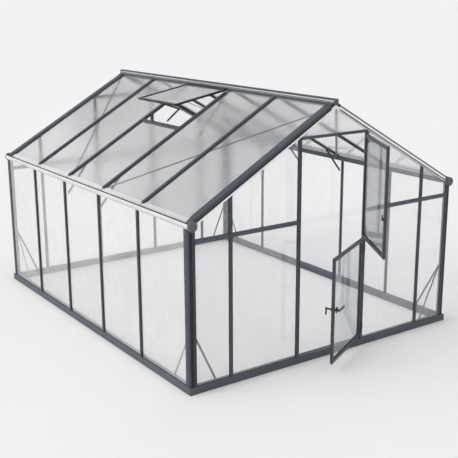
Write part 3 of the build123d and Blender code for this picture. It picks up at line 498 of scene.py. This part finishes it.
class Bits:
    """Many small solids gathered into one piece."""

    def __init__(self):
        self.v, self.f, self.s = [], [], []

    def _add(self, verts, faces, smooth):
        n = len(self.v)
        self.v += [Vector(p) for p in verts]
        self.f += [tuple(n + i for i in f) for f in faces]
        self.s += [smooth] * len(faces)

    def lathe(self, profile, at, axis, seg=20):
        """Turned solid: profile of (radius, height) from its foot to its top."""
        ax = Vector(axis).normalized()
        side = ax.orthogonal().normalized()
        up = ax.cross(side)
        verts, faces = [], []
        for r, h in profile:
            for k in range(seg):
                a = 2 * math.pi * k / seg
                verts.append(Vector(at) + ax * h + (side * math.cos(a) + up * math.sin(a)) * r)
        for i in range(len(profile) - 1):
            for k in range(seg):
                a, b = i * seg + k, i * seg + (k + 1) % seg
                faces.append((a, b, b + seg, a + seg))
        faces.append(tuple(reversed(range(seg))))
        top = (len(profile) - 1) * seg
        faces.append(tuple(top + k for k in range(seg)))
        self._add(verts, faces, True)

    def prism(self, section, a, b, u, v):
        """Bar from a to b; section points lie along the vectors u and v."""
        a, b, u, v = Vector(a), Vector(b), Vector(u), Vector(v)
        area = sum(p[0] * q[1] - q[0] * p[1] for p, q in zip(section, section[1:] + section[:1]))
        if (area > 0) != (u.cross(v).dot(b - a) > 0):
            section = section[::-1]
        n = len(section)
        verts = [a + u * p + v * q for p, q in section] + [b + u * p + v * q for p, q in section]
        faces = [(i, (i + 1) % n, n + (i + 1) % n, n + i) for i in range(n)]
        faces += [tuple(reversed(range(n))), tuple(range(n, 2 * n))]
        self._add(verts, faces, False)

    def screw(self, at, axis, r=0.0045, low=False):
        """Pan-head screw with a driver recess; low is a countersunk one."""
        if low:
            prof = [(r, 0), (r, 0.0002), (r * 0.9, 0.0003), (r * 0.35, 0.0003), (r * 0.3, 0.0001)]
        else:
            prof = [(r, 0), (r, r * 0.25), (r * 0.93, r * 0.42), (r * 0.7, r * 0.56),
                    (r * 0.4, r * 0.6), (r * 0.33, r * 0.25)]
        self.lathe(prof, at, axis, 16)

    def bolt(self, at, axis, r=0.0065):
        """Hexagon head on a washer."""
        self.lathe([(r * 1.5, 0), (r * 1.5, 0.0010), (r * 1.42, 0.0014), (r * 1.05, 0.0014)],
                   at, axis, 20)
        self.lathe([(r, 0.0014), (r, r * 0.62), (r * 0.88, r * 0.75)], at, axis, 6)
        self.s[-8:] = [False] * 8

    def turn(self, body):
        """Carry the bits of a closed leaf round to where the leaf stands."""
        rot = Matrix.Rotation(OPEN[body], 3, "Z")
        o = Vector((HINGE.x, HINGE.y, 0))
        self.v = [rot @ (p - o) + o for p in self.v]

    def done(self, name, mat, body, bevel=0.0):
        m = bpy.data.meshes.new(name)
        m.from_pydata([tuple(p) for p in self.v], [], self.f)
        m.polygons.foreach_set("use_smooth", self.s)
        m.materials.append(mat)
        m.update()
        o = bpy.data.objects.new(name, m)
        scene.collection.objects.link(o)
        if bevel:
            bv = o.modifiers.new("Bevel", "BEVEL")
            bv.width = bevel
            bv.segments = 2
            bv.limit_method = "ANGLE"
            bv.angle_limit = math.radians(40)
        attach(o, body)
        return o


mm = 0.001
X, Y, Z = Vector((1, 0, 0)), Vector((0, 1, 0)), Vector((0, 0, 1))

# bolts and screws of the house
steel = Bits()
for side, half, top, foot in (("front", HW, 0.563, 0.289), ("back", HW, 0.585, 0.276),
                              ("left", HL, 0.570, 0.339), ("right", HL, 0.570, 0.339)):
    for s in (-1, 1):
        for t, z in ((s * (half - 0.046), top), (s * (half - foot), 0.046)):
            p, n = wall(side, t, 0.0623, z)
            steel.bolt(p, n)
for side in ("left", "right"):
    for t in (BARS if side == "right" else [-b for b in BARS]):
        for z in (0.082, 1.362):
            p, n = wall(side, t, 0.0005, z)
            steel.screw(p, -n, 0.0045, True)
for side in ("front", "back"):
    for t in GABLE_T:
        for z in (0.082, RAIL_Z - 0.034, RAIL_Z + 0.034, roof(RZ - 0.078, t)):
            p, n = wall(side, t, 0.0005, z)
            steel.screw(p, -n, 0.0045)
    for s in (-1, 1):
        for dz in (0.016, 0.042):
            p, n = wall(side, s * (HW - 0.030), 0.0, dz)
            steel.screw(p, -n, 0.0055)
    for t in (-0.9, -0.45, 0.0, 0.45, 0.9):
        p, n = wall(side, t, 0.0, 0.028)
        steel.screw(p, -n, 0.0045)
KZ, KX = 1.268, 1.240
for sgn in (-1, 1):
    for t, s in ((-0.36, 1), (0.36, -1)):
        y = YM + t + s * (0.0083 + 0.005)
        for x, z in ((HW - 0.044, KZ), (KX, roof(RZ - 0.027, KX))):
            steel.bolt((sgn * x, y, z), (0, s, 0), 0.0055)
for sy in (-1, 1):
    y = YC + sy * (HL - 0.0002)
    for x, z in ((-0.011, RZ + 0.016), (0.011, RZ + 0.016), (0.0, RZ - 0.006)):
        steel.screw((x, y, z), (0, sy, 0), 0.0045)
    for sgn in (-1, 1):
        for x in (0.10, 0.55, 1.0, 1.40):
            steel.screw((sgn * x, YC + sy * (HL - 0.046), roof(RZ + 0.0098, x)),
                        (sgn * PITCH, 0, 1), 0.0045)
steel.done("house_fixings", STEEL, "house")

# black glazing seals of the walls: beside every bar, over the base and at the rails
seal = Bits()
BEAD = [(0, 0), (2.6 * mm, 0), (2.6 * mm, 0.9 * mm), (1.4 * mm, 1.7 * mm), (0, 1.7 * mm)]


def beads(side, p0, p1, away):
    """Outer and inner seal between two points (along, height) of a wall; away is
    the direction (along, height) from the profile onto the glass."""
    for d, k in ((0.0139, -1), (0.0181, 1)):
        a, n = wall(side, p0[0], d, p0[1])
        b, _ = wall(side, p1[0], d, p1[1])
        o, _ = wall(side, 0, 0, 0)
        q, _ = wall(side, away[0], 0, away[1])
        seal.prism(BEAD, a, b, q - o, n * k)


for side in ("left", "right"):
    ts = BARS if side == "right" else [-b for b in reversed(BARS)]
    edges = [-(HL - 0.072)] + [e for t in ts for e in (t - 0.014, t + 0.014)] + [HL - 0.072]
    for t0, t1 in zip(edges[::2], edges[1::2]):
        beads(side, (t0, BASE_TOP + 0.0002), (t1, BASE_TOP + 0.0002), (0, 1))
        beads(side, (t0, EAVES - 0.0002), (t1, EAVES - 0.0002), (0, -1))
        beads(side, (t0, BASE_TOP + 0.003), (t0, EAVES - 0.003), (1, 0))
        beads(side, (t1, BASE_TOP + 0.003), (t1, EAVES - 0.003), (-1, 0))
for side in ("front", "back"):
    edges = [-(HW - 0.072)] + [e for t in GABLE_T for e in (t - 0.014, t + 0.014)] + [HW - 0.072]
    for i, (t0, t1) in enumerate(zip(edges[::2], edges[1::2])):
        if side == "front" and i == 2:
            continue
        beads(side, (t0, BASE_TOP + 0.0002), (t1, BASE_TOP + 0.0002), (0, 1))
        for s in (-1, 1):
            beads(side, (t0, RAIL_Z + s * 0.0162), (t1, RAIL_Z + s * 0.0162), (0, s))
        for t, s in ((t0, 1), (t1, -1)):
            beads(side, (t, BASE_TOP + 0.003), (t, RAIL_Z - 0.019), (s, 0))
            top = HEAD_Z - 0.02 if i == 2 else roof(RZ - 0.053, t)
            beads(side, (t, RAIL_Z + 0.019), (t, top), (s, 0))
        if i != 2:
            beads(side, (t0, roof(RZ - 0.0502, t0)), (t1, roof(RZ - 0.0502, t1)), (0, -1))
seal.done("wall_seals", SEAL, "house")

# seals between roof bar caps and roof panes
rs = Bits()
SL = math.hypot(1, PITCH)
for sgn in (-1, 1):
    for i, t in enumerate(BARS):
        x0 = 0.602 if sgn < 0 and i in (1, 2) else 0.043
        for s in (-1, 1):
            sides = [(x0, 1.416)]
            for xa, xb in sides:
                a = Vector((sgn * xa, YC + t + s * 0.0165, roof(RZ - 0.0078, xa)))
                b = Vector((sgn * xb, YC + t + s * 0.0165, roof(RZ - 0.0078, xb)))
                rs.prism([(0, 0), (6 * mm, 0), (5 * mm, 1.6 * mm), (0, 1.6 * mm)], a, b,
                         (0, s, 0), (0, 0, 1))
rs.done("roof_seals", SEAL, "house")

# moulded ends of the verges, and corner gussets
mould = Bits()
for sgn in (-1, 1):
    for sy in (-1, 1):
        sec = [(10, -17), (10, 2), (14, 7), (20, 9), (70, 9), (74, 5), (74, -6), (52, -8), (52, -17)]
        a = Vector((sgn * 1.4382, YC + sy * HL, roof(RZ, 1.4382)))
        b = Vector((sgn * 1.4500, YC + sy * HL, roof(RZ, 1.4500)))
        mould.prism([(e * mm, z * mm) for e, z in sec], a, b, (0, -sy, 0), (0, 0, 1))
        mould.lathe([(0.016, 0), (0.016, 0.005), (0.012, 0.008)],
                    (sgn * 1.4500, YC + sy * (HL - 0.034), roof(RZ - 0.004, 1.4500)),
                    (sgn, 0, -PITCH), 20)
        pts = [(56.4, 56.4), (148, 56.4), (148, 62), (62, 148), (56.4, 148)]
        mould.prism([(p * mm, q * mm) for p, q in pts],
                    (sgn * HW, YC + sy * HL, 0.049), (sgn * HW, YC + sy * HL, 0.053),
                    (-sgn, 0, 0), (0, -sy, 0))
mould.done("moulded_ends", CAPS, "house", 0.0015)

# painted shade: a dark sheet round the outer corner of each post, where the rounded corner lies in
# shade, and dark painted-shade aprons on the verges
shade_and_plugs = Bits()
cov = Bits()
for sx in (-1, 1):
    for sy in (-1, 1):
        arc = [math.radians(a) for a in (52, 60, 68, 76, 84, 90)]
        outer = [(0.039 - 0.0324 * math.cos(a), 0.039 - 0.0324 * math.sin(a)) for a in arc]
        inner = [(0.039 - 0.0319 * math.cos(a), 0.039 - 0.0319 * math.sin(a)) for a in arc]
        sec = outer + [(0.0447, 0.0066), (0.0447, 0.0071)] + inner[::-1]
        shade_and_plugs.prism(sec, (sx * HW, YC + sy * HL, BASE_TOP + 0.0004),
                  (sx * HW, YC + sy * HL, EAVES - 0.0014), (-sx, 0, 0), (0, -sy, 0))
        # cover over the rafter's inner edge, and a dark bead under the pale strip: painted shade for
        # the rafter's shaded underside
        for bits, sec in ((cov, [(0.0725, 0.0102), (0.088, 0.0085), (0.0905, 0.005), (0.0905, -0.0065),
                     (0.0765, -0.0065), (0.0765, 0.0052)]),
                    (shade_and_plugs, [(0.0074, -0.0405 if sx > 0 else -0.0310),
                     (0.0084, -0.0405 if sx > 0 else -0.0310),
                     (0.0084, -0.0300 if sx > 0 else -0.0170),
                     (0.0079, -0.0296 if sx > 0 else -0.0166),
                     (0.0074, -0.0300 if sx > 0 else -0.0170)])):
            bits.prism(sec, (sx * 0.043, YC + sy * HL, roof(RZ, 0.043)),
                      (sx * 1.395, YC + sy * HL, roof(RZ, 1.395)), (0, -sy, 0), (0, 0, 1))
for sy in (-1, 1):
    for x, z in ((-0.030, RZ - 0.014), (-0.044, RZ - 0.022), (0.030, RZ - 0.014),
                 (0.044, RZ - 0.022)):
        shade_and_plugs.lathe([(0.0062, 0), (0.0062, 0.004), (0.0045, 0.006)],
                  (x, YC + sy * (HL - 0.0079), z), (0, sy, 0), 16)
# painted shade sheets of the posts and verges, gathered with the small dark plugs at the ridge
shade_and_plugs.done("painted_shade_and_plugs", SHADE_AND_PLUG_COAT, "house")
cov.done("verge_covers", COVER, "house")

# painted highlights: a pale line on the right-hand verge faces, and a pale line on each ridge wing
verge_highlight = Bits()
for sx in (-1, 1):
    for sy in (-1, 1):
        # only the right-hand verges carry the painted highlight
        if sx < 0:
            continue
        verge_highlight.prism([(0.0072, -0.0290), (0.0079, -0.0290), (0.0079, -0.0072), (0.0076, -0.0066),
                  (0.0072, -0.0072)],
                 (sx * 0.043, YC + sy * HL, roof(RZ, 0.043)),
                 (sx * 1.395, YC + sy * HL, roof(RZ, 1.395)), (0, -sy, 0), (0, 0, 1))
verge_highlight.done("verge_painted_highlights", WHITE, "house")
# painted highlight: a pale line along each wing of the ridge cap
ridge_highlight = Bits()
for sx in (-1, 1):
    ridge_highlight.prism([(0.0240, 0.0023), (0.0262, 0.0003), (0.0258, -0.0006), (0.0235, 0.0014)],
                 (0, YC - (HL - 0.0085), RZ), (0, YC + (HL - 0.0085), RZ), (sx, 0, 0), (0, 0, 1))
ridge_highlight.done("ridge_painted_highlights", CHANNEL, "house")

# roof vent: hinge roll along the ridge, corner screws, stay peg on the cross rail
vent = Bits()
vent.lathe([(0.0050, 0), (0.0056, 0.001), (0.0056, 0.679), (0.0050, 0.680)],
           (-0.0455, YM - 0.340, 2.2395), Y, 18)
VA = math.radians(10.3)
down = Vector((-math.cos(VA), 0, -math.sin(VA)))
nrm = Vector((-math.sin(VA), 0, math.cos(VA)))
for t in (-0.337, 0.337):
    for s in (0.013, 0.587):
        vent.screw(Vector((-0.046, YM + t, 2.236)) + down * s, nrm, 0.0045)
peg = Vector((-0.584, YM + 0.15, roof(RZ + 0.0002, 0.584)))
vent.lathe([(0.013, 0), (0.013, 0.004), (0.0055, 0.007), (0.005, 0.066), (0.0085, 0.070),
            (0.0085, 0.078), (0.006, 0.083)], peg, Z, 18)
vent.done("vent_fittings", MATS["handle_metal"], "house")

vs_ = Bits()
for t0, t1, s0, s1 in ((-0.324, 0.324, 0.026, 0.0295), (-0.324, 0.324, 0.5705, 0.574),
                       (-0.324, -0.3205, 0.0295, 0.5705), (0.3205, 0.324, 0.0295, 0.5705)):
    o = Vector((-0.046, YM, 2.236))
    vs_.prism([(t0, s0), (t1, s0), (t1, s1), (t0, s1)], o - nrm * 0.0048, o - nrm * 0.0028,
              Y, down)
vs_.done("vent_seal", SEAL, "house")

# door hinges, leaf seals, leaf screws and the keeper
HINGES = {"lower_leaf": (0.185, 0.925), "upper_leaf": (1.135, 1.865)}
jamb = Bits()
for body, zs in HINGES.items():
    for z in zs:
        for z0 in (z - 0.034, z + 0.0125):
            jamb.lathe([(0.0032, 0), (0.0037, 0.0008), (0.0037, 0.0207), (0.0032, 0.0215)],
                       (HINGE.x, HINGE.y, z0), Z, 16)
        jamb.prism([(0.3655, -1.6 * mm), (0.3845, -1.6 * mm), (0.3845, 0.35 * mm),
                    (0.3655, 0.35 * mm)], (0, YF, z - 0.034), (0, YF, z + 0.034), X, Y)
        for dz in (-0.022, 0.022):
            jamb.screw((0.3755, YF - 0.0016, z + dz), (0, -1, 0), 0.0035)
jamb.prism([(-0.3580, 0.003), (-0.3572, 0.003), (-0.3572, 0.016), (-0.3580, 0.016)],
           (0, YF, 0.540), (0, YF, 0.610), X, Y)
jamb.done("jamb_hinges", MATS["handle_metal"], "house")

for body in ("lower_leaf", "upper_leaf"):
    z0, z1 = LEAF_Z[body]
    h, st, d0 = 0.352, 0.030, 0.0025
    hg = Bits()
    for z in HINGES[body]:
        hg.lathe([(0.0032, 0), (0.0037, 0.0008), (0.0037, 0.0232), (0.0032, 0.024)],
                 (HINGE.x, HINGE.y, z - 0.012), Z, 16)
        hg.prism([(0.3255, 0.9 * mm), (0.3570, 0.9 * mm), (0.3590, -1.6 * mm),
                  (0.3603, -1.2 * mm), (0.3575, 2.4 * mm), (0.3255, 2.4 * mm)],
                 (0, YF, z - 0.012), (0, YF, z + 0.012), X, Y)
        hg.screw((0.333, YF + 0.0009, z), (0, -1, 0), 0.0035)
    for x in (-h + st / 2, h - st / 2):
        for z in (z0 + st / 2, z1 - st / 2):
            hg.screw((x, YF + d0, z), (0, -1, 0), 0.004)
    hg.turn(body)
    hg.done(body + "_hinges", MATS["handle_metal"], body)
    ls = Bits()
    w_ = 0.0035
    xi, za, zb = h - st, z0 + st, z1 - st
    for dd in ((d0 + 0.0064, d0 + 0.0089), (d0 + 0.0131, d0 + 0.0156)):
        for xa, xb, a, b in ((-xi, xi, za, za + w_), (-xi, xi, zb - w_, zb),
                             (-xi, -xi + w_, za + w_, zb - w_), (xi - w_, xi, za + w_, zb - w_)):
            ls.prism([(xa, a), (xb, a), (xb, b), (xa, b)], (0, YF + dd[0], 0),
                     (0, YF + dd[1], 0), X, Z)
    # lip seal under the leaf
    ls.prism([(d0 + 0.008, z0 - 0.011), (d0 + 0.011, z0 - 0.012), (d0 + 0.015, z0 - 0.0002),
              (d0 + 0.008, z0 - 0.0002)], (-h + 0.004, YF, 0), (h - 0.004, YF, 0), Y, Z)
    ls.turn(body)
    ls.done(body + "_seals", SEAL, body)
